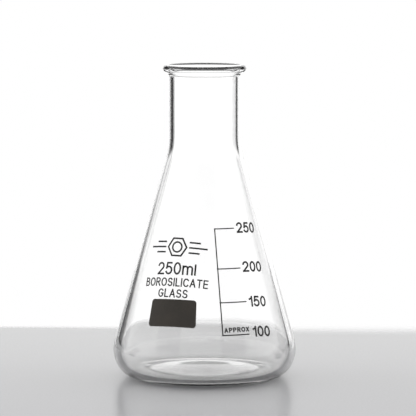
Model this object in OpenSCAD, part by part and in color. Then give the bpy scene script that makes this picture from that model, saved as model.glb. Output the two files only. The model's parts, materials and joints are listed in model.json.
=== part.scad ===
// Narrow-neck conical flask of 250 ml, with a beaded rim and fired enamel markings.
// Millimetres, +Z up. The flask stands on z = 0 and its axis is the Z axis.
// The markings face -Y, and +X is on their right.

/* [Outline] */
// Height from the table to the top of the rim
flask_h = 145; // [138:0.5:150]
// Largest outside diameter of the body
body_d = 85; // [82:0.5:88]
// Slope of the cone's wall from the vertical, in degrees
cone_angle = 15.7; // [15:0.1:16.5]
// Width of the rounded heel, inward from the largest diameter
heel_w = 10.2; // [9:0.1:12]
// Height of the rounded heel at the largest diameter
heel_h = 12.3; // [11:0.1:14]
// Slope of the wall where the heel ends and a gentler curve leads on to the cone, in degrees
heel_slope = 10; // [6:0.5:12]
// Radius of that gentler curve
heel_blend = 45; // [30:1:60]
// Outside radius of the curve between the cone and the neck
shoulder_r = 43; // [30:1:50]
// Outside diameter of the neck
neck_d = 33.3; // [32:0.1:35]

/* [Rim] */
// Outside diameter of the beaded rim
bead_d = 38.6; // [37.5:0.1:41]
// Rounding of the bead's outer edge
bead_round = 1.65; // [1.4:0.05:1.9]
// Radius of the hollow under the bead
bead_blend = 2.2; // [1.5:0.1:3]
// Depth to which the mouth flares
lip_h = 5; // [3:0.1:6]

/* [Glass] */
// Thickness of the neck's wall
neck_wall = 2.1; // [1.8:0.1:2.3]
// Thickness of the wall at the heel
heel_wall = 3.2; // [2.6:0.1:3.5]
// Height where the wall starts to thicken towards the heel
thick_from = 55; // [50:1:70]
// Height where the wall is at its thickest
thick_to = 4; // [0:0.5:8]
// Thickness of the floor at the edge of the hollow under the base
floor_t = 2.6; // [2:0.1:3.2]
// Depth of the groove inside, around the floor
floor_dip = 0.3; // [0:0.05:0.5]
// Diameter of the floor inside that groove
floor_d = 52; // [48:1:56]
// Rise of the floor's middle
floor_rise = 1.9; // [1:0.1:2.2]
// Diameter of the hollow under the base, inside the ring that the flask stands on
recess_d = 50; // [46:1:54]
// Depth of the hollow under the base
recess_h = 1.7; // [0.8:0.1:1.9]

/* [Enamel] */
// Thickness of the enamel
enamel_t = 0.1; // [0.1:0.05:0.2]
// Width of the graduation's lines
scale_line = 0.52; // [0.4:0.02:0.8]
// Height of the graduation's numerals
numeral_h = 5; // [4:0.1:5.5]
// Width of the numerals' strokes
numeral_stroke = 0.84; // [0.5:0.02:0.9]
// Width of the marking spot at its middle
spot_w = 22.7; // [18:0.1:24]
// Height of the marking spot
spot_h = 12.7; // [9:0.1:13]
// Rounding of the marking spot's corners
spot_round = 1.4; // [0.5:0.1:2.5]
// Distance across the corners of the maker's hexagon
hexagon_d = 9.2; // [6:0.2:9.6]

/* [Hidden] */

glass_colour = [0.86, 0.93, 0.94, 0.35];
ink_colour = [0.24, 0.24, 0.24];
spot_colour = [0.29, 0.27, 0.25];

// A graduation has its numeral, its height, the azimuth where its tick ends, and then how far
// right of the tick the numeral starts, how far below the tick it reaches, and its stretch.
// Azimuths are in degrees, 0 at the front and growing to the right.
TICKS = [
    ["250", 71.6, 30.5, 1, 2.53, 1.11],
    ["200", 53.75, 31.3, 1, 2.2, 1.17],
    ["150", 38.75, 32.3, 1, 2.75, 1.17],
    ["100", 24.3, 30.9, 1.75, 1.65, 1.17]
];
// Azimuth of the graduation's upright line at the top tick and at the bottom one
upright_top_az = 10;
upright_bottom_az = 12.1;
// The ticks reach this far past the upright line
tick_overlap = 0.06;
// Space between a numeral's digits, and its tilt in degrees
numeral_space = 0.54;
numeral_tilt = -4.5;

// A row of lettering has its text, the azimuth and the height of the middle of its
// baseline, its cap height, stroke width, stretch, letter space and tilt.
APPROX_ROW = ["APPROX", 22.2, 25.5, 2.25, 0.5, 1.2, 0.34, 0.5];
CAPACITY_ROW = ["250ml", -24.3, 51, 5.8, 0.8, 1.03, 0.6, 1];
BOROSILICATE_ROW = ["BOROSILICATE", -24.6, 45.75, 4, 0.6, 0.98, 0.46, 0.4];
GLASS_ROW = ["GLASS", -25, 40.8, 4, 0.6, 1.02, 0.46, 0];

// Azimuth, height and tilt of the middle of the marking spot and of the maker's mark
SPOT_AT = [-23.6, 33.95, 0.7];
MARK_AT = [-25.5, 63.3, 0];
// The spot's top edge is this much narrower than its bottom edge
spot_taper = 1.7;
mark_line = 0.75;
// Each side of the hexagon has three bars, which start and end at these distances
MARK_BARS = [[6.2, 10.6], [6.2, 14], [6.2, 10.6]];
mark_bar_pitch = 2.4;

body_r = body_d / 2;
neck_r = neck_d / 2;
bore_r = neck_r - neck_wall;
recess_r = recess_d / 2;
floor_r = floor_d / 2;
heel_cx = body_r - heel_w;

// Point on an upright ellipse around [cx, cz], and a run of such points
function on_ellipse(cx, cz, rx, rz, a) = [cx + rx * cos(a), cz + rz * sin(a)];
function arc(cx, cz, rx, rz, from, to, steps) =
    [for (i = [0:steps]) on_ellipse(cx, cz, rx, rz, from + (to - from) * i / steps)];

// Where a line that leans in by slope degrees touches an ellipse
function touch_angle(rx, rz, slope) = atan2(rz * sin(slope), rx * cos(slope));

// The outside: the heel runs on into a gentler curve, which the cone's line touches, and that
// line would meet the neck at meet_z
heel_touch = touch_angle(heel_w, heel_h, heel_slope);
heel_end = on_ellipse(heel_cx, heel_h, heel_w, heel_h, heel_touch);
blend_at = heel_end - heel_blend * [cos(heel_slope), sin(heel_slope)];
cone_foot = blend_at + heel_blend * [cos(cone_angle), sin(cone_angle)];
meet_z = cone_foot[1] + (cone_foot[0] - neck_r) / tan(cone_angle);
shoulder_z = meet_z + shoulder_r * tan(cone_angle / 2);
shoulder_cx = neck_r + shoulder_r;
apex_z = cone_foot[1] + cone_foot[0] / tan(cone_angle);
function cone_r(z) = (apex_z - z) * tan(cone_angle);

// The inside follows the outside at the wall's thickness, which grows smoothly downwards
function smooth(u) = let (v = min(1, max(0, u))) v * v * (3 - 2 * v);
function wall_t(z) =
    neck_wall + (heel_wall - neck_wall) * smooth((thick_from - z) / (thick_from - thick_to));
// Point inside a point of the outer line, whose surface faces up by an angle
function inward(p, facing, t) = p - t * [cos(facing), sin(facing)];
function cone_inside(z) = inward([cone_r(z), z], cone_angle, wall_t(z));
function blend_inside(a) =
    let (p = blend_at + heel_blend * [cos(a), sin(a)]) inward(p, a, wall_t(p[1]));
// Around the heel the wall also eases into the floor's edge; u is 0 at its top and 1 below
floor_edge = floor_t + floor_dip;
function heel_inside(u) =
    let (
        a = heel_touch + (-90 - heel_touch) * u,
        p = on_ellipse(heel_cx, heel_h, heel_w, heel_h, a),
        facing = atan2(sin(a) / heel_h, cos(a) / heel_w)
    )
    inward(p, facing, wall_t(p[1]) + (floor_edge - heel_wall) * u * u);
function groove(u) =
    [heel_cx + (floor_r - heel_cx) * u, floor_edge - floor_dip * u * u];

// The bead's outer edge, the hollow under it and the mouth's flare inside it
bead_cx = bead_d / 2 - bead_round;
bead_cz = flask_h - bead_round;
blend_cx = neck_r + bead_blend;
blend_cz = bead_cz - sqrt(pow(bead_round + bead_blend, 2) - pow(blend_cx - bead_cx, 2));
blend_angle = atan2(bead_cz - blend_cz, bead_cx - blend_cx);
lip_flat = 0.3;
lip_w = bead_cx - lip_flat - bore_r;
straight_bore_top = flask_h - lip_h;

// A shallow dome from the axis out to radius r, which falls from its rise to z as a power of r
function dome(r, rise, z, power, steps) =
    [for (i = [0:steps]) [r * i / steps, z + rise * (1 - pow(i / steps, power))]];
function reversed(list) = [for (i = [len(list) - 1:-1:0]) list[i]];

OUTER_LINE = concat(
    dome(recess_r, recess_h, 0, 2, 8),
    arc(heel_cx, heel_h, heel_w, heel_h, -90, heel_touch, 20),
    arc(blend_at[0], blend_at[1], heel_blend, heel_blend, heel_slope, cone_angle, 5),
    arc(shoulder_cx, shoulder_z, shoulder_r, shoulder_r, 180 + cone_angle, 180, 8),
    arc(blend_cx, blend_cz, bead_blend, bead_blend, 180, blend_angle, 6),
    arc(bead_cx, bead_cz, bead_round, bead_round, blend_angle - 180, 90, 14)
);
INNER_LINE = concat(
    arc(bore_r + lip_w, straight_bore_top, lip_w, lip_h, 90, 180, 8),
    arc(shoulder_cx, shoulder_z, shoulder_r + neck_wall, shoulder_r + neck_wall,
        180, 180 + cone_angle, 8),
    [for (i = [0:9]) cone_inside(thick_from + (cone_foot[1] - thick_from) * i / 9)],
    [for (i = [1:4]) blend_inside(cone_angle + (heel_slope - cone_angle) * i / 4)],
    [for (i = [1:18]) heel_inside(i / 18)],
    [for (i = [1:3]) groove(i / 4)],
    reversed(dome(floor_r, floor_rise, floor_t, 3, 10))
);

module flask_body() {
    color(glass_colour)
    rotate_extrude($fn = 180)
    polygon(concat(OUTER_LINE, INNER_LINE));
}

// A polygon with a round corner of radius r at each of its points
function corner(p, before, after, r, steps) =
    let (
        a = (before - p) / norm(before - p),
        b = (after - p) / norm(after - p),
        half = acos(a * b) / 2,
        centre = p + (a + b) / norm(a + b) * r / sin(half),
        from = p + a * r / tan(half) - centre,
        to = p + b * r / tan(half) - centre
    )
    [for (i = [0:steps])
        let (v = from * (1 - i / steps) + to * (i / steps)) centre + v * r / norm(v)];
function rounded(points, r, steps = 6) =
    let (n = len(points))
    [for (i = [0:n - 1]) each
        corner(points[i], points[(i + n - 1) % n], points[(i + 1) % n], r, steps)];

// The lettering's strokes, as centre lines in a box 1 high: [width, [[closed, points], ...]]
function bend(cx, cy, rx, ry, from, to, steps = 8) = [false, arc(cx, cy, rx, ry, from, to, steps)];
function line(points) = [false, points];
function oval(w) = [true, [for (a = [0:15:345]) on_ellipse(w / 2, 0.5, w / 2, 0.5, a)]];
function loop(x, cy, rx, ry) =
    line(concat([[0.05, cy + ry]], arc(x, cy, rx, ry, 90, -90, 8), [[0.05, cy - ry]]));
stem = line([[0, 0], [0, 1]]);
function glyph(c) =
    c == "0" ? [0.56, [oval(0.56)]] :
    c == "1" ? [0.28, [line([[0.28, 0], [0.28, 1]]), line([[0.03, 0.75], [0.26, 0.87]])]] :
    c == "2" ? [0.56, [
        line(concat(arc(0.28, 0.71, 0.27, 0.29, 165, -38, 10), [[0.05, 0.04]])),
        line([[0, 0], [0.56, 0]])]] :
    c == "5" ? [0.56, [
        line([[0.51, 1], [0.11, 1], [0.05, 0.52]]),
        bend(0.27, 0.33, 0.29, 0.33, 142, -150, 12)]] :
    c == "m" ? [0.84, [
        line([[0, 0], [0, 0.72]]),
        line(concat(arc(0.21, 0.5, 0.21, 0.22, 180, 0, 8), [[0.42, 0]])),
        line(concat(arc(0.63, 0.5, 0.21, 0.22, 180, 0, 8), [[0.84, 0]]))]] :
    c == "l" ? [0, [line([[0, 0], [0, 0.88]])]] :
    c == "I" ? [0, [stem]] :
    c == "A" ? [0.66, [
        line([[0, 0], [0.33, 1]]), line([[0.33, 1], [0.66, 0]]), line([[0.15, 0.33], [0.51, 0.33]])]] :
    c == "B" ? [0.57, [stem, loop(0.3, 0.765, 0.22, 0.235), loop(0.32, 0.265, 0.25, 0.265)]] :
    c == "C" ? [0.62, [bend(0.35, 0.5, 0.35, 0.5, 42, 318, 14)]] :
    c == "E" ? [0.5, [
        line([[0.49, 1], [0, 1], [0, 0], [0.5, 0]]),
        line([[0.05, 0.52], [0.45, 0.52]])]] :
    c == "G" ? [0.67, [
        line(concat(arc(0.35, 0.5, 0.35, 0.5, 42, 322, 14), [[0.67, 0.45], [0.4, 0.45]]))]] :
    c == "L" ? [0.46, [line([[0, 1], [0, 0], [0.46, 0]])]] :
    c == "O" ? [0.72, [oval(0.72)]] :
    c == "P" ? [0.55, [stem, loop(0.3, 0.74, 0.25, 0.26)]] :
    c == "R" ? [0.58, [stem, loop(0.32, 0.75, 0.23, 0.25), line([[0.32, 0.45], [0.57, 0]])]] :
    c == "S" ? [0.56, [line(concat(
        arc(0.28, 0.745, 0.25, 0.255, 25, 250, 9), arc(0.28, 0.255, 0.28, 0.255, 70, -155, 9)))]] :
    c == "T" ? [0.58, [line([[0, 1], [0.58, 1]]), line([[0.29, 0], [0.29, 0.95]])]] :
    c == "X" ? [0.56, [line([[0, 0], [0.56, 1]]), line([[0, 1], [0.56, 0]])]] :
    [0, []];

// Left-hand normal of the step from a to b
function normal(a, b) = [a[1] - b[1], b[0] - a[0]] / norm(b - a);
// The point beside p, half a stroke to the left, mitred between two normals
function beside(p, n1, n2, half) = p + (n1 + n2) / norm(n1 + n2) * half * min(1.5, 2 / norm(n1 + n2));
function side(points, half, closed) =
    let (n = len(points))
    [for (i = [0:n - 1])
        let (
            before = closed ? points[(i + n - 1) % n] : points[max(i - 1, 0)],
            after = closed ? points[(i + 1) % n] : points[min(i + 1, n - 1)],
            n1 = norm(points[i] - before) > 0 ? normal(before, points[i]) : normal(points[i], after),
            n2 = norm(after - points[i]) > 0 ? normal(points[i], after) : n1
        )
        beside(points[i], n1, n2, half)];
// An open line that is longer by half a stroke at both ends
function capped(points, half) =
    let (
        n = len(points),
        a = points[0] - points[1],
        b = points[n - 1] - points[n - 2]
    )
    [for (i = [0:n - 1])
        i == 0 ? points[0] + a / norm(a) * half :
        i == n - 1 ? points[i] + b / norm(b) * half : points[i]];

// One stroke of the given width along a centre line
module stroke(points, width, closed = false) {
    if (closed) {
        difference() {
            polygon(side(points, -width / 2, true));
            polygon(side(points, width / 2, true));
        }
    } else {
        ends = capped(points, width / 2);
        polygon(concat(side(ends, width / 2, false), reversed(side(ends, -width / 2, false))));
    }
}

// Width of a glyph with its strokes, and the distance from the row's start to its middle
function glyph_w(c, h, width, stretch) = glyph(c)[0] * (h - width) * stretch + width;
function row_end(txt, n, h, width, stretch, space) =
    n == 0 ? 0 :
    row_end(txt, n - 1, h, width, stretch, space) + glyph_w(txt[n - 1], h, width, stretch) + space;

module glyph_shape(c, h, width, stretch) {
    parts = glyph(c);
    for (s = parts[1])
        stroke(
            [for (p = s[1]) [(p[0] - parts[0] / 2) * (h - width) * stretch, (p[1] - 0.5) * (h - width)]],
            width, s[0]
        );
}

// Stands a flat drawing on the cone, facing out, with its middle at an azimuth and height
module on_cone(az, z, tilt) {
    rotate([0, 0, az])
    translate([0, -cone_r(z), z])
    rotate([90 - cone_angle, 0, 0])
    rotate([0, 0, tilt])
    children();
}

// A skin as thick as the enamel, around the cone between two heights
module cone_skin(z1, z2) {
    out = enamel_t * [cos(cone_angle), sin(cone_angle)];
    low = [cone_r(z1), z1];
    high = [cone_r(z2), z2];
    polygon([low, low + out, high + out, high]);
}

// Keeps of its flat children what lies in the enamel's skin
module enamel(az, z, tilt, reach = 10, depth = 1.2) {
    intersection() {
        rotate_extrude($fn = 180) cone_skin(z - reach, z + reach);
        on_cone(az, z, tilt) translate([0, 0, -depth]) linear_extrude(depth + 1) children();
    }
}

// A row of lettering that stays straight when the cone is unrolled
module lettering(row) {
    txt = row[0];
    h = row[3];
    width = row[4];
    stretch = row[5];
    space = row[6];
    tilt = row[7];
    total = row_end(txt, len(txt), h, width, stretch, space) - space;
    reach = (apex_z - row[2]) / cos(cone_angle);
    for (i = [0:len(txt) - 1]) {
        half_w = glyph_w(txt[i], h, width, stretch) / 2;
        u = row_end(txt, i, h, width, stretch, space) + half_w - total / 2;
        v = h / 2;
        x = u * cos(tilt) - v * sin(tilt);
        y = reach - u * sin(tilt) - v * cos(tilt);
        turn = atan2(x, y);
        enamel(row[1] + turn / sin(cone_angle), apex_z - norm([x, y]) * cos(cone_angle), tilt - turn, h)
            glyph_shape(txt[i], h, width, stretch);
    }
}

module marking_spot() {
    top = (spot_w - spot_taper / 2) / 2;
    bottom = (spot_w + spot_taper / 2) / 2;
    color(spot_colour)
    enamel(SPOT_AT[0], SPOT_AT[1], SPOT_AT[2], 12, 4)
    polygon(rounded(
        [[-bottom, -spot_h / 2], [bottom, -spot_h / 2], [top, spot_h / 2], [-top, spot_h / 2]],
        spot_round
    ));
}

function upright_az(z) =
    upright_top_az + (upright_bottom_az - upright_top_az) * (TICKS[0][1] - z) / (TICKS[0][1] - TICKS[3][1]);

// A flat slice that cuts a tick out of the skin, from just left of the upright line to an azimuth
module tick_slice(z, end_az) {
    half = scale_line / 2 * cos(cone_angle);
    start_az = upright_az(z) - (scale_line / 2 + tick_overlap) / cone_r(z) * 180 / PI;
    translate([0, 0, z - half])
    linear_extrude(2 * half)
    polygon([[0, 0], for (az = [start_az, end_az]) body_d * [sin(az), -cos(az)]]);
}

module graduation_scale() {
    top_z = TICKS[0][1];
    bottom_z = TICKS[3][1];
    mid_z = (top_z + bottom_z) / 2;
    mid_az = upright_az(mid_z);
    // The stroke is half its width longer at both ends, which takes it to the outer ticks
    rise = (top_z - bottom_z) / 2 / cos(cone_angle) - scale_line / 2;
    color(ink_colour)
    intersection() {
        rotate_extrude($fn = 180) cone_skin(bottom_z - 3, top_z + 3);
        union() {
            for (t = TICKS) tick_slice(t[1], t[2]);
            on_cone(mid_az, mid_z, 0)
            translate([0, 0, -1.2])
            linear_extrude(2.2)
            stroke([
                [cone_r(top_z) * sin(upright_top_az - mid_az), rise],
                [cone_r(bottom_z) * sin(upright_bottom_az - mid_az), -rise]
            ], scale_line);
        }
    }
}

// The numeral of one graduation, right of its tick
module numeral(t) {
    gap = t[3];
    z = t[1] - t[4];
    stretch = t[5];
    w = row_end(t[0], 3, numeral_h, numeral_stroke, stretch, numeral_space) - numeral_space;
    az = t[2] + (gap + w / 2) / cone_r(t[1]) * 180 / PI;
    lettering([t[0], az, z, numeral_h, numeral_stroke, stretch, numeral_space, numeral_tilt]);
}
module numeral_250() {
    color(ink_colour) numeral(TICKS[0]);
}
module numeral_200() {
    color(ink_colour) numeral(TICKS[1]);
}
module numeral_150() {
    color(ink_colour) numeral(TICKS[2]);
}
module numeral_100() {
    color(ink_colour) numeral(TICKS[3]);
}

module approx_label() {
    color(ink_colour) lettering(APPROX_ROW);
}
module capacity_label() {
    color(ink_colour) lettering(CAPACITY_ROW);
}
module material_label_borosilicate() {
    color(ink_colour) lettering(BOROSILICATE_ROW);
}
module material_label_glass() {
    color(ink_colour) lettering(GLASS_ROW);
}

module maker_mark() {
    color(ink_colour) {
        enamel(MARK_AT[0], MARK_AT[1], MARK_AT[2]) {
            stroke([for (a = [0:60:300]) hexagon_d / 2 * [cos(a), sin(a)]], mark_line, true);
            stroke([for (a = [0:15:345]) hexagon_d / 4 * [cos(a), sin(a)]], mark_line, true);
        }
        for (side_of = [-1, 1])
            for (i = [0:2])
                let (
                    mid = side_of * (MARK_BARS[i][0] + MARK_BARS[i][1]) / 2,
                    half = (MARK_BARS[i][1] - MARK_BARS[i][0]) / 2,
                    y = (apex_z - MARK_AT[1]) / cos(cone_angle) - (1 - i) * mark_bar_pitch,
                    turn = atan2(mid, y)
                )
                enamel(MARK_AT[0] + turn / sin(cone_angle), apex_z - norm([mid, y]) * cos(cone_angle), -turn)
                stroke([[-half, 0], [half, 0]], mark_line);
    }
}

flask_body();
marking_spot();
graduation_scale();
numeral_250();
numeral_200();
numeral_150();
numeral_100();
approx_label();
capacity_label();
material_label_borosilicate();
material_label_glass();
maker_mark();
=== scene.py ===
"""A 250 ml conical flask of clear glass with fired enamel markings, on a pale table."""
import json
from math import atan2, cos, degrees, pi, radians, sin, sqrt, tan

import bmesh
import bpy
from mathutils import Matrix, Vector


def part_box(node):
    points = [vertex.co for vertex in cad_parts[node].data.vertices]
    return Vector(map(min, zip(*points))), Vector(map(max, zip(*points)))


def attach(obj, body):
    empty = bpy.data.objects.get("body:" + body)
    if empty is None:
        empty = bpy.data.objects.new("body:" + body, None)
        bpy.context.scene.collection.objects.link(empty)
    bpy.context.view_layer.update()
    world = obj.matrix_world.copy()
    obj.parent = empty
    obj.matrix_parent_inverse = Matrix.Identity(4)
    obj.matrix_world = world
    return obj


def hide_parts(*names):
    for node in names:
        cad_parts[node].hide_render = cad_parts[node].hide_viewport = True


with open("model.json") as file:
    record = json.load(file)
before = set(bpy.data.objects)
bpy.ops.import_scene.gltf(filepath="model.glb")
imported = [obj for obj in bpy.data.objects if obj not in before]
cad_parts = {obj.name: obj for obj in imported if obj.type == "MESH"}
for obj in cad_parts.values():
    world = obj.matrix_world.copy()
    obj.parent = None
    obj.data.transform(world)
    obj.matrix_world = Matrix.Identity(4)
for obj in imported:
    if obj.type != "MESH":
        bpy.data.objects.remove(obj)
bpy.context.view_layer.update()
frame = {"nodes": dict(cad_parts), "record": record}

MM = 0.001

# ---- Sizes, from the frame where it gives them -------------------------------------------------
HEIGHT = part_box("flask_body")[1][2]
BODY_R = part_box("flask_body")[1][0]
NECK_BORE = frame["record"]["mounts"][0]
BORE_R = NECK_BORE["dims"]["r_mm"] * MM

# Outside of the cone: its slope from the vertical in degrees, the heel's ellipse, the slope
# where the heel ends, the gentler arc from there to the cone, and the curve up to the neck
CONE_ANGLE = 15.7
HEEL_W = 10.2 * MM
HEEL_H = 12.3 * MM
HEEL_SLOPE = 10
HEEL_BLEND = 45 * MM
SHOULDER_R = 43 * MM

# Glass: its thickness in the neck and at the heel, and the heights that it grows between
NECK_WALL = 2.1 * MM
HEEL_WALL = 3.2 * MM
THICK_FROM = 55 * MM
THICK_TO = 4 * MM
NECK_R = BORE_R + NECK_WALL

# Floor: its thickness, the groove around it, its raised middle, and the hollow underneath
FLOOR_T = 2.6 * MM
FLOOR_DIP = 0.3 * MM
FLOOR_R = 26 * MM
FLOOR_RISE = 1.9 * MM
FLOOR_POWER = 3
RECESS_R = 25 * MM
RECESS_H = 1.7 * MM
RECESS_POWER = 2

# Rim: the bead, the hollow under it, its flat top, and the depth to which the mouth flares
BEAD_R = 19.3 * MM
BEAD_ROUND = 1.65 * MM
BEAD_BLEND = 2.2 * MM
LIP_FLAT = 0.3 * MM
LIP_H = 5 * MM

# Fineness of the mesh: parts of each curve, the longest part of the profile, and parts around
RECESS_STEPS = 24
HEEL_STEPS = 50
EASE_STEPS = 12
SHOULDER_STEPS = 16
BLEND_STEPS = 12
BEAD_STEPS = 24
LIP_STEPS = 20
CONE_STEPS = 48
INNER_HEEL_STEPS = 60
GROOVE_STEPS = 12
FLOOR_STEPS = 30
LONGEST_PART = 3 * MM
SEGMENTS = 192

# A point of the profile this close to the axis is on it
ON_AXIS = 0.0001 * MM

# ---- Looks, studio and camera ------------------------------------------------------------------
GLASS_COLOUR = (0.945, 0.945, 0.945)
GLASS_IOR = 1.473

# Enamel: its usual colour, its darkest colour and its roughness
INK = (0.020, 0.020, 0.020)
INK_DARK = (0.010, 0.010, 0.010)
INK_ROUGHNESS = 0.5
SPOT = (0.075, 0.065, 0.054)
SPOT_DARK = (0.055, 0.048, 0.040)
SPOT_ROUGHNESS = 0.6
ENAMEL_SHINE = 0.35
ROUGHNESS_SPREAD = 0.06

# A noise is given by its scale and its detail. Nearly all its values lie in NOISE_RANGE, and
# the enamel's colour changes over TINT_RANGE.
GRAIN = (2600, 4)
GRAIN_SHARE = 0.5
GRAIN_BUMP = 0.25
GRAIN_DEPTH = 0.03 * MM
CLOUDS = (140, 2)
NOISE_RANGE = (0.3, 0.7)
TINT_RANGE = (0.35, 0.65)

# The table reaches this far to the sides and to the front, and its far edge is this far behind
# the axis. It is turned by a small angle in degrees and lies a little below the flask's foot.
TABLE_REACH = 730 * MM
TABLE_FAR_Y = 167 * MM
TABLE_TURN = 0.4
TABLE_DROP = 0.05 * MM

# Its colour goes from near to far over a range of Y. This is painted shade: the table is coloured
# darker towards the front, where it gets less light and mirrors less of the bright studio.
TABLE_NEAR_SHADED = (0.355, 0.355, 0.37)
TABLE_FAR_LIGHTER = (0.475, 0.475, 0.48)
TABLE_SHADE_Y = (-160 * MM, 180 * MM)
TABLE_ROUGHNESS = (0.22, 0.26)
TABLE_GRAIN = (900, 3)

# The table fades out in front of its far edge, over a depth that grows from left to right
FADE_X = (-120 * MM, 120 * MM)
FADE_LEFT = 12 * MM
FADE_RIGHT = 40 * MM

# The studio: brightness of its panels, of the gaps between them and of the ceiling in front.
# Angles are in degrees; a gap's are its start and end in each quarter or eighth of a turn,
# and its edges are soft by SOFT_EDGE to both sides.
STUDIO_LIGHT = 1.24
GAP_LIGHT = 0.04
CEILING_LIGHT = 0.15
WIDE_GAP = (33, 68)
WIDE_EVERY = 90
NARROW_GAP = (17, 28)
NARROW_EVERY = 45
SOFT_EDGE = 2

# Heights above the horizon. The wide gaps have a low and a high dark part, with a grey one
# between them, and the narrow gaps are below. The floor turns dark, and the ceiling dim, from
# the first angle to the second.
GAP_LOW = (-10, 2)
GAP_MIDDLE = (2, 8)
GAP_HIGH = (8, 24)
MIDDLE_GREY = 0.28
NARROW_HEIGHTS = (-40, -10)
DARK_FLOOR = (-20, -24)
CEILING_HEIGHTS = (18, 30)

# In front, the wide gaps keep only this share of their darkness. They lose it, and the ceiling
# grows dim, over a range of a direction's Y.
FRONT_GAPS = 0.5
FRONT_GAPS_Y = (-0.3, 0.1)
CEILING_Y = (0.2, -0.4)

# The camera stands in front of the axis and above the table, and looks down by a few degrees.
# Its lens and its sensor's width are in millimetres.
CAMERA_AT = (1.6 * MM, -1500 * MM, 235.6 * MM)
CAMERA_PITCH = 5.98
CAMERA_LENS = 281
CAMERA_SENSOR = 36
CAMERA_NEAREST = 10 * MM


# ---- Profile of the glass ----------------------------------------------------------------------
def arc(cx, cz, rx, rz, start, end, steps):
    """Points on an ellipse, from one angle in degrees to another."""
    points = []
    for i in range(steps + 1):
        a = radians(start + (end - start) * i / steps)
        points.append((cx + rx * cos(a), cz + rz * sin(a)))
    return points


def touch_angle(rx, rz, slope):
    """Angle where a line leaning in by slope touches an ellipse, all in degrees."""
    return degrees(atan2(rz * sin(radians(slope)), rx * cos(radians(slope))))


def dome(radius, rise, base_z, power, steps):
    """A shallow dome, from the axis out to a radius."""
    points = []
    for i in range(steps + 1):
        u = i / steps
        points.append((radius * u, base_z + rise * (1 - u ** power)))
    return points


def wall(z):
    """Thickness of the glass at a height: it grows smoothly from the neck's to the heel's."""
    u = min(1, max(0, (THICK_FROM - z) / (THICK_FROM - THICK_TO)))
    return NECK_WALL + (HEEL_WALL - NECK_WALL) * u * u * (3 - 2 * u)


def inward(r, z, facing, thick):
    """The inside point opposite an outside point, whose surface faces up by an angle."""
    return (r - thick * cos(facing), z - thick * sin(facing))


def evened(points, longest):
    """The same line with extra points, so that no two are much further apart than longest."""
    out = [points[0]]
    for (r0, z0), (r1, z1) in zip(points, points[1:]):
        parts = max(1, round(sqrt((r1 - r0) ** 2 + (z1 - z0) ** 2) / longest))
        for i in range(1, parts + 1):
            out.append((r0 + (r1 - r0) * i / parts, z0 + (z1 - z0) * i / parts))
    return out


def ease_curve(start_r, start_z):
    """Outside of the gentler arc, from the heel's end up to the cone."""
    slope = radians(HEEL_SLOPE)
    cx = start_r - HEEL_BLEND * cos(slope)
    cz = start_z - HEEL_BLEND * sin(slope)
    return arc(cx, cz, HEEL_BLEND, HEEL_BLEND, HEEL_SLOPE, CONE_ANGLE, EASE_STEPS)


def bead_curve(bead_cx):
    """Outside of the rim: the hollow under the bead, then the bead itself."""
    bead_cz = HEIGHT - BEAD_ROUND
    blend_cx = NECK_R + BEAD_BLEND
    reach = BEAD_ROUND + BEAD_BLEND
    blend_cz = bead_cz - sqrt(reach ** 2 - (blend_cx - bead_cx) ** 2)
    meet = degrees(atan2(bead_cz - blend_cz, bead_cx - blend_cx))
    hollow = arc(blend_cx, blend_cz, BEAD_BLEND, BEAD_BLEND, 180, meet, BLEND_STEPS)
    bead = arc(bead_cx, bead_cz, BEAD_ROUND, BEAD_ROUND, meet - 180, 90, BEAD_STEPS)
    return hollow + bead[1:]


def inner_cone(foot_r, foot_z):
    """Inside of the straight cone, from the height where it starts to thicken down to its foot."""
    lean = radians(CONE_ANGLE)
    points = []
    for i in range(CONE_STEPS + 1):
        z = THICK_FROM + (foot_z - THICK_FROM) * i / CONE_STEPS
        points.append(inward(foot_r + (foot_z - z) * tan(lean), z, lean, wall(z)))
    return points


def inner_ease(ease):
    """Inside of the gentler arc, from the cone's foot down to the heel."""
    lean = radians(CONE_ANGLE)
    slope = radians(HEEL_SLOPE)
    points = []
    for i, (r, z) in enumerate(ease[-2::-1], 1):
        facing = lean + (slope - lean) * i / EASE_STEPS
        points.append(inward(r, z, facing, wall(z)))
    return points


def inner_heel(heel_cx, touch):
    """Inside of the heel, from its end down to the floor, whose thickness it takes on."""
    points = []
    for i in range(1, INNER_HEEL_STEPS + 1):
        u = i / INNER_HEEL_STEPS
        a = radians(touch + (-90 - touch) * u)
        z = HEEL_H + HEEL_H * sin(a)
        facing = atan2(sin(a) / HEEL_H, cos(a) / HEEL_W)
        thick = wall(z) + (FLOOR_T + FLOOR_DIP - HEEL_WALL) * u * u
        points.append(inward(heel_cx + HEEL_W * cos(a), z, facing, thick))
    return points


def inner_floor(heel_cx):
    """Top of the floor, from the heel in to the axis: a shallow groove, then the raised middle."""
    points = []
    for i in range(1, GROOVE_STEPS):
        u = i / GROOVE_STEPS
        points.append((heel_cx + (FLOOR_R - heel_cx) * u, FLOOR_T + FLOOR_DIP * (1 - u * u)))
    return points + dome(FLOOR_R, FLOOR_RISE, FLOOR_T, FLOOR_POWER, FLOOR_STEPS)[::-1]


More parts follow.
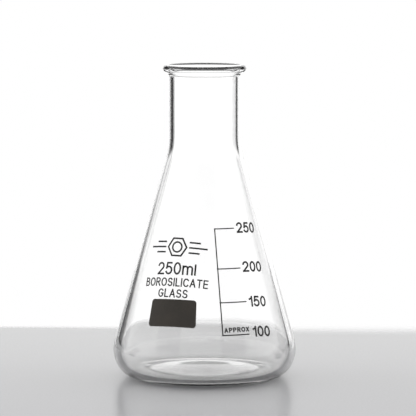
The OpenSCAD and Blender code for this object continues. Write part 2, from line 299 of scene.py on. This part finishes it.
def glass_profile():
    """The outside from the axis under the base up to the rim, then the inside down to the axis."""
    heel_cx = BODY_R - HEEL_W
    touch = touch_angle(HEEL_W, HEEL_H, HEEL_SLOPE)
    heel = arc(heel_cx, HEEL_H, HEEL_W, HEEL_H, -90, touch, HEEL_STEPS)
    ease = ease_curve(*heel[-1])
    foot_r, foot_z = ease[-1]

    # The cone's line meets the neck's at this height, and the shoulder's curve touches both
    lean = radians(CONE_ANGLE)
    meet_z = foot_z + (foot_r - NECK_R) / tan(lean)
    shoulder_z = meet_z + SHOULDER_R * tan(lean / 2)
    shoulder_cx = NECK_R + SHOULDER_R
    inner_r = SHOULDER_R + NECK_WALL
    cone_end = 180 + CONE_ANGLE

    # The mouth flares from the bore out to the flat top of the bead
    bead_cx = BEAD_R - BEAD_ROUND
    lip_w = bead_cx - LIP_FLAT - BORE_R

    outside = dome(RECESS_R, RECESS_H, 0, RECESS_POWER, RECESS_STEPS)
    outside += heel + ease[1:]
    outside += arc(shoulder_cx, shoulder_z, SHOULDER_R, SHOULDER_R, cone_end, 180, SHOULDER_STEPS)
    outside += bead_curve(bead_cx)

    inside = arc(BORE_R + lip_w, HEIGHT - LIP_H, lip_w, LIP_H, 90, 180, LIP_STEPS)
    inside += arc(shoulder_cx, shoulder_z, inner_r, inner_r, 180, cone_end, SHOULDER_STEPS)
    inside += inner_cone(foot_r, foot_z)
    inside += inner_ease(ease)
    inside += inner_heel(heel_cx, touch)
    inside += inner_floor(heel_cx)
    return evened(outside + inside, LONGEST_PART)


def lathe(name, profile):
    """Turns a profile that starts and ends on the axis into a closed smooth mesh."""
    mesh = bpy.data.meshes.new(name)
    bm = bmesh.new()
    rings = []
    for r, z in profile:
        if r < ON_AXIS:
            rings.append([bm.verts.new((0, 0, z))])
            continue
        ring = []
        for k in range(SEGMENTS):
            a = 2 * pi * k / SEGMENTS
            ring.append(bm.verts.new((r * cos(a), r * sin(a), z)))
        rings.append(ring)
    for low, high in zip(rings, rings[1:]):
        for k in range(SEGMENTS):
            n = (k + 1) % SEGMENTS
            corners = [low[k % len(low)], low[n % len(low)],
                       high[n % len(high)], high[k % len(high)]]
            # On the axis two corners are the same point, so one of them is left out
            bm.faces.new(list(dict.fromkeys(corners)))
    bmesh.ops.recalc_face_normals(bm, faces=bm.faces)
    for face in bm.faces:
        face.smooth = True
    bm.to_mesh(mesh)
    bm.free()
    piece = bpy.data.objects.new(name, mesh)
    bpy.context.collection.objects.link(piece)
    return piece


# ---- Nodes of a material or of the world -------------------------------------------------------
def add(tree, kind, **inputs):
    """A node with its inputs set by name; underscores stand for spaces."""
    node = tree.nodes.new(kind)
    for name, value in inputs.items():
        node.inputs[name.replace("_", " ")].default_value = value
    return node


def maths(tree, operation, *values):
    """One step of arithmetic, on numbers and on other nodes' outputs."""
    node = tree.nodes.new("ShaderNodeMath")
    node.operation = operation
    for socket, value in zip(node.inputs, values):
        if isinstance(value, bpy.types.NodeSocket):
            tree.links.new(value, socket)
        else:
            socket.default_value = value
    return node.outputs["Value"]


def ramp(tree, value, low, high, to_low=0.0, to_high=1.0):
    """A smooth step from to_low at low to to_high at high."""
    node = add(tree, "ShaderNodeMapRange",
               From_Min=low, From_Max=high, To_Min=to_low, To_Max=to_high)
    node.interpolation_type = "SMOOTHSTEP"
    tree.links.new(value, node.inputs["Value"])
    return node.outputs["Result"]


def gap(tree, angle, start, end):
    """1 between two angles, with soft ends."""
    opening = ramp(tree, angle, start - SOFT_EDGE, start + SOFT_EDGE)
    closing = ramp(tree, angle, end + SOFT_EDGE, end - SOFT_EDGE)
    return maths(tree, "MULTIPLY", opening, closing)


def blend(tree, amount, low, high):
    """A colour that is low where the amount is 0 and high where it is 1."""
    node = tree.nodes.new("ShaderNodeMix")
    node.data_type = "RGBA"
    sockets = {socket.identifier: socket for socket in [*node.inputs, *node.outputs]}
    sockets["A_Color"].default_value = (*low, 1)
    sockets["B_Color"].default_value = (*high, 1)
    tree.links.new(amount, sockets["Factor_Float"])
    return sockets["Result_Color"]


def noise(tree, scale, detail):
    """Noise that stays with the object."""
    place = tree.nodes.new("ShaderNodeTexCoord").outputs["Object"]
    node = add(tree, "ShaderNodeTexNoise", Scale=scale, Detail=detail)
    tree.links.new(place, node.inputs["Vector"])
    return node.outputs["Fac"]


def axes(tree, coordinates):
    """The X, Y and Z of a place on an object, or of a direction in the world."""
    vector = tree.nodes.new("ShaderNodeTexCoord").outputs[coordinates]
    split = tree.nodes.new("ShaderNodeSeparateXYZ")
    tree.links.new(vector, split.inputs["Vector"])
    return split.outputs


# ---- Materials ---------------------------------------------------------------------------------
def new_material(name):
    """A new material, its node tree and its shader."""
    material = bpy.data.materials.new(name)
    material.use_nodes = True
    tree = material.node_tree
    return material, tree, tree.nodes["Principled BSDF"]


def glass_material():
    """Clear borosilicate glass with smooth surfaces."""
    material, _, shader = new_material("clear_glass")
    shader.inputs["Base Color"].default_value = (*GLASS_COLOUR, 1)
    shader.inputs["Transmission Weight"].default_value = 1
    shader.inputs["IOR"].default_value = GLASS_IOR
    shader.inputs["Roughness"].default_value = 0
    return material


def enamel_material(name, colour, dark, roughness):
    """Fired enamel with a fine grain and faint clouds."""
    material, tree, shader = new_material(name)
    grain = noise(tree, *GRAIN)
    cloud = noise(tree, *CLOUDS)
    both = maths(tree, "ADD", maths(tree, "MULTIPLY", grain, GRAIN_SHARE),
                 maths(tree, "MULTIPLY", cloud, 1 - GRAIN_SHARE))
    tint = blend(tree, ramp(tree, both, *TINT_RANGE), dark, colour)
    rough = ramp(tree, cloud, *NOISE_RANGE,
                 roughness - ROUGHNESS_SPREAD, roughness + ROUGHNESS_SPREAD)
    bump = add(tree, "ShaderNodeBump", Strength=GRAIN_BUMP, Distance=GRAIN_DEPTH)
    links = tree.links
    links.new(tint, shader.inputs["Base Color"])
    links.new(rough, shader.inputs["Roughness"])
    links.new(grain, bump.inputs["Height"])
    links.new(bump.outputs["Normal"], shader.inputs["Normal"])
    shader.inputs["Specular IOR Level"].default_value = ENAMEL_SHINE
    return material


def table_material():
    """Semi-gloss pale grey, with painted shade that makes it darker towards the front, fading to
    clear at the far edge.
    """
    material, tree, shader = new_material("pale_table")
    x, y, _ = axes(tree, "Object")
    # Painted shade: the colour runs from the darker near shade to the lighter far colour along Y
    tint = blend(tree, ramp(tree, y, *TABLE_SHADE_Y), TABLE_NEAR_SHADED, TABLE_FAR_LIGHTER)
    rough = ramp(tree, noise(tree, *TABLE_GRAIN), *NOISE_RANGE, *TABLE_ROUGHNESS)
    fade_from = ramp(tree, x, *FADE_X, TABLE_FAR_Y - FADE_LEFT, TABLE_FAR_Y - FADE_RIGHT)
    # This is 0 where the fade starts and 1 at the far edge
    past = maths(tree, "DIVIDE", maths(tree, "SUBTRACT", y, fade_from),
                 maths(tree, "SUBTRACT", TABLE_FAR_Y, fade_from))
    tree.links.new(tint, shader.inputs["Base Color"])
    tree.links.new(rough, shader.inputs["Roughness"])
    tree.links.new(ramp(tree, past, 1, 0), shader.inputs["Alpha"])
    return material


def paint(name, material):
    """Gives a CAD node one material."""
    slots = frame["nodes"][name].data.materials
    slots.clear()
    slots.append(material)


# ---- The object --------------------------------------------------------------------------------
glass = lathe("glass_body", glass_profile())
glass.data.materials.append(glass_material())
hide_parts("flask_body")
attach(glass, "root")

ink = enamel_material("enamel_ink", INK, INK_DARK, INK_ROUGHNESS)
spot = enamel_material("enamel_spot", SPOT, SPOT_DARK, SPOT_ROUGHNESS)
for name in frame["nodes"]:
    if name == "marking_spot":
        paint(name, spot)
    elif name != "flask_body":
        paint(name, ink)


# ---- Table, light and camera -------------------------------------------------------------------
def make_table():
    """A flat table that isn't part of the object."""
    mesh = bpy.data.meshes.new("table")
    corners = [(-TABLE_REACH, -TABLE_REACH), (TABLE_REACH, -TABLE_REACH),
               (TABLE_REACH, TABLE_FAR_Y), (-TABLE_REACH, TABLE_FAR_Y)]
    mesh.from_pydata([(x, y, 0) for x, y in corners], [], [(0, 1, 2, 3)])
    table = bpy.data.objects.new("table", mesh)
    table.location.z = -TABLE_DROP
    table.rotation_euler.z = radians(TABLE_TURN)
    table.data.materials.append(table_material())
    bpy.context.collection.objects.link(table)


def light_world():
    """A white studio around the table, with dark upright gaps between its panels.

    The gaps are what draws the dark lines inside the edges of clear glass. There are four wide
    ones near the horizon, paler in front, and eight narrow ones below them. The floor far below
    is dark, and the ceiling in front is dim. The camera itself sees plain white.
    """
    world = bpy.data.worlds.new("studio")
    bpy.context.scene.world = world
    world.use_nodes = True
    tree = world.node_tree
    x, y, z = axes(tree, "Generated")
    turn = maths(tree, "MULTIPLY", maths(tree, "ARCTAN2", x, y), degrees(1))
    height = maths(tree, "MULTIPLY", maths(tree, "ARCSINE", z), degrees(1))

    wide = gap(tree, maths(tree, "FLOORED_MODULO", turn, WIDE_EVERY), *WIDE_GAP)
    level = maths(tree, "ADD", gap(tree, height, *GAP_LOW), gap(tree, height, *GAP_HIGH))
    grey = maths(tree, "MULTIPLY", gap(tree, height, *GAP_MIDDLE), MIDDLE_GREY)
    level = maths(tree, "ADD", level, grey)
    level = maths(tree, "MULTIPLY", level, ramp(tree, y, *FRONT_GAPS_Y, FRONT_GAPS, 1))
    narrow = gap(tree, maths(tree, "FLOORED_MODULO", turn, NARROW_EVERY), *NARROW_GAP)
    below = gap(tree, height, *NARROW_HEIGHTS)
    dark = maths(tree, "ADD", maths(tree, "MULTIPLY", wide, level),
                 maths(tree, "MULTIPLY", narrow, below))
    dark = maths(tree, "MAXIMUM", dark, ramp(tree, height, *DARK_FLOOR))
    light = ramp(tree, dark, 0, 1, STUDIO_LIGHT, GAP_LIGHT)

    overhead = maths(tree, "MULTIPLY", ramp(tree, height, *CEILING_HEIGHTS),
                     ramp(tree, y, *CEILING_Y))
    light = maths(tree, "MULTIPLY", light, ramp(tree, overhead, 0, 1, 1, CEILING_LIGHT))

    seen = tree.nodes.new("ShaderNodeLightPath").outputs["Is Camera Ray"]
    unseen = maths(tree, "SUBTRACT", 1, seen)
    strength = maths(tree, "ADD", maths(tree, "MULTIPLY", light, unseen), seen)
    background = tree.nodes["Background"]
    tree.links.new(strength, background.inputs["Strength"])
    background.inputs["Color"].default_value = (1, 1, 1, 1)


def make_camera():
    """A long lens in front of the flask, looking a little down."""
    data = bpy.data.cameras.new("camera")
    data.lens = CAMERA_LENS
    data.sensor_width = CAMERA_SENSOR
    data.clip_start = CAMERA_NEAREST
    camera = bpy.data.objects.new("camera", data)
    camera.location = CAMERA_AT
    camera.rotation_euler = (radians(90 - CAMERA_PITCH), 0, 0)
    bpy.context.collection.objects.link(camera)
    bpy.context.scene.camera = camera


make_table()
light_world()
make_camera()
bpy.context.scene.view_settings.view_transform = "Standard"
